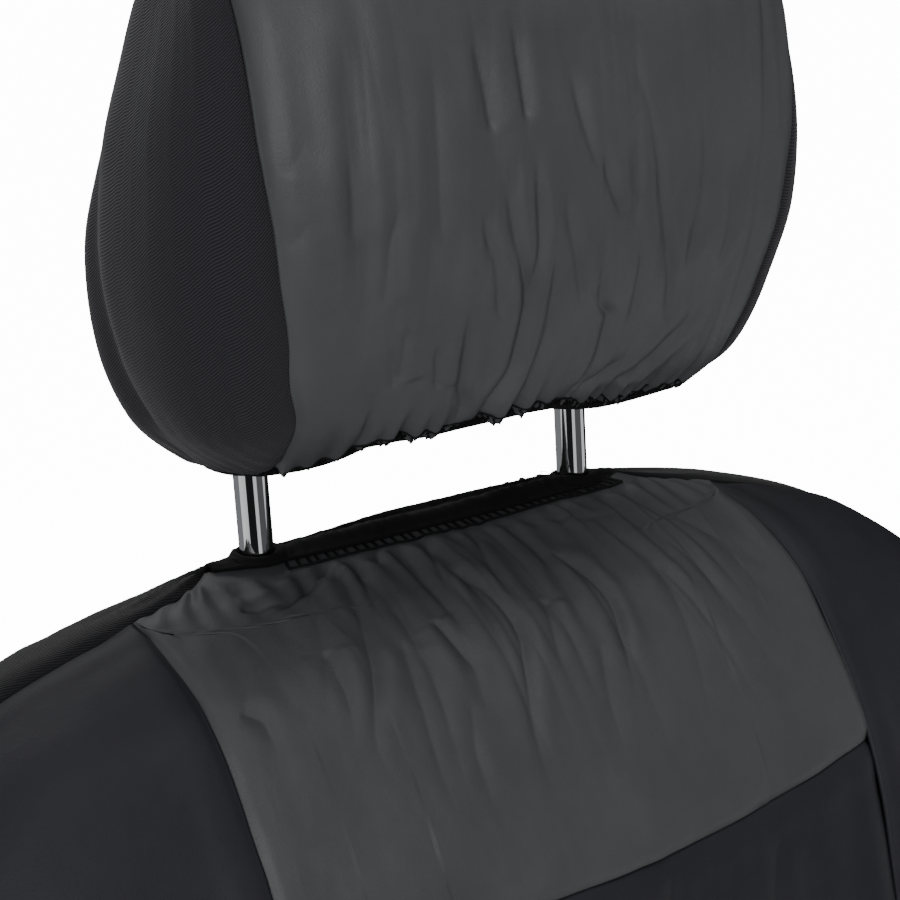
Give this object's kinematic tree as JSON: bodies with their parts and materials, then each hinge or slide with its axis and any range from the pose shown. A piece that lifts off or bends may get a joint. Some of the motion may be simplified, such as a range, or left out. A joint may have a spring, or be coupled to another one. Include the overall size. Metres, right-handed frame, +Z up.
{
  "type": "seat cover set",
  "caption": "Front bucket seat wearing a fitted cover set in grey and black leatherette with black twill sides",
  "frame": {"origin": "on the floor, at the centre of the four floor bolts", "axes": "+Z up, the seat faces -Y, +X is to the right seen from the front"},
  "size_m": [0.542, 0.7887, 1.1037],
  "materials": {
    "grey_leather": "soft matt leatherette with fine grain, backed with thin foam",
    "black_leather": "smooth satin leatherette with fine grain, backed with thin foam",
    "black_twill": "stretch fabric with a fine diagonal twill weave",
    "elastic_band": "woven elastic tape with overlock stitching",
    "seat_foam": "moulded polyurethane foam with a closed skin",
    "post_chrome": "polished chrome plate on 12 mm steel rod",
    "frame_steel": "black electrocoated pressed steel",
    "rail_steel": "zinc plated rolled steel",
    "trim_plastic": "grained black moulded plastic",
    "glide_nylon": "natural nylon",
    "spring_steel": "oiled spring steel wire"
  },
  "bodies": {
    "base": {"floor_foot_front_left": "frame_steel", "floor_foot_front_right": "frame_steel", "floor_foot_rear_left": "frame_steel", "floor_foot_rear_right": "frame_steel", "lower_rail_left": "rail_steel", "lower_rail_right": "rail_steel"},
    "seat": {"cover_straps": "elastic_band", "cross_tube_front": "frame_steel", "cross_tube_rear": "frame_steel", "cushion_cover_bolster_left": "black_leather", "cushion_cover_bolster_right": "black_leather", "cushion_cover_front_panel": "grey_leather", "cushion_cover_hem_elastic": "elastic_band", "cushion_cover_rear_panel": "black_leather", "cushion_cover_skirt": "black_twill", "cushion_foam": "seat_foam", "cushion_pan": "frame_steel", "pan_brackets": "frame_steel", "rail_bolt_heads": "rail_steel", "rail_glides": "glide_nylon", "recline_pivot_bolts": "rail_steel", "recliner_disc_left": "rail_steel", "recliner_disc_right": "rail_steel", "side_member_left": "frame_steel", "side_member_right": "frame_steel", "side_trim_left": "trim_plastic", "side_trim_right": "trim_plastic", "strap_hooks": "trim_plastic", "upper_rail_left": "rail_steel", "upper_rail_right": "rail_steel"},
    "release_bar": {"slide_release_bar": "frame_steel", "release_bar_grip": "trim_plastic"},
    "lever": {"recline_lever": "trim_plastic"},
    "backrest": {"back_cover_bolster_left": "black_leather", "back_cover_bolster_right": "black_leather", "back_cover_grey_panel": "grey_leather", "back_cover_hem_elastic": "elastic_band", "back_cover_lower_panel": "black_leather", "back_cover_rear": "black_twill", "back_foam": "seat_foam", "back_frame_cross_tube": "frame_steel", "back_frame_hoop": "frame_steel", "back_opening_elastic": "elastic_band", "back_springs": "spring_steel", "head_guide_sleeve_left": "trim_plastic", "head_guide_sleeve_right": "trim_plastic", "head_guide_tubes": "frame_steel", "rear_pocket": "black_twill", "recliner_arm_left": "frame_steel", "recliner_arm_right": "frame_steel"},
    "head_button": {"head_release_button": "trim_plastic"},
    "head_restraint": {"head_core_plate": "frame_steel", "head_cover_front": "grey_leather", "head_cover_hem_elastic": "elastic_band", "head_cover_rear": "black_twill", "head_cover_side_left": "black_twill", "head_cover_side_right": "black_twill", "head_foam": "seat_foam", "head_posts": "post_chrome"}
  },
  "joints": [
    {"name": "seat_slide", "type": "slide", "parent": "base", "child": "seat", "axis": [0, -1, 0], "range_m": [-0.1, 0.12]},
    {"name": "slide_release", "type": "hinge", "parent": "seat", "child": "release_bar", "pos_m": [0, -0.06, 0.112], "axis": [-1, 0, 0], "range_deg": [0, 7], "stiffness_Nm_per_rad": 4, "springref_deg": -6.02},
    {"name": "recline", "type": "hinge", "parent": "seat", "child": "backrest", "pos_m": [0, 0.298, 0.265], "axis": [-1, 0, 0], "range_deg": [-8, 50]},
    {"name": "recline_lever", "type": "hinge", "parent": "seat", "child": "lever", "pos_m": [-0.25, 0.205, 0.14], "axis": [-1, 0, 0], "range_deg": [0, 22], "stiffness_Nm_per_rad": 1.5, "springref_deg": -8.02},
    {"name": "head_height", "type": "slide", "parent": "backrest", "child": "head_restraint", "axis": [0, 0.0993, 0.9951], "range_m": [-0.02, 0.045]},
    {"name": "head_button", "type": "slide", "parent": "backrest", "child": "head_button", "axis": [1, 0, 0], "range_m": [0, 0.0028], "stiffness_N_per_m": 900, "springref_m": -0.001}
  ]
}
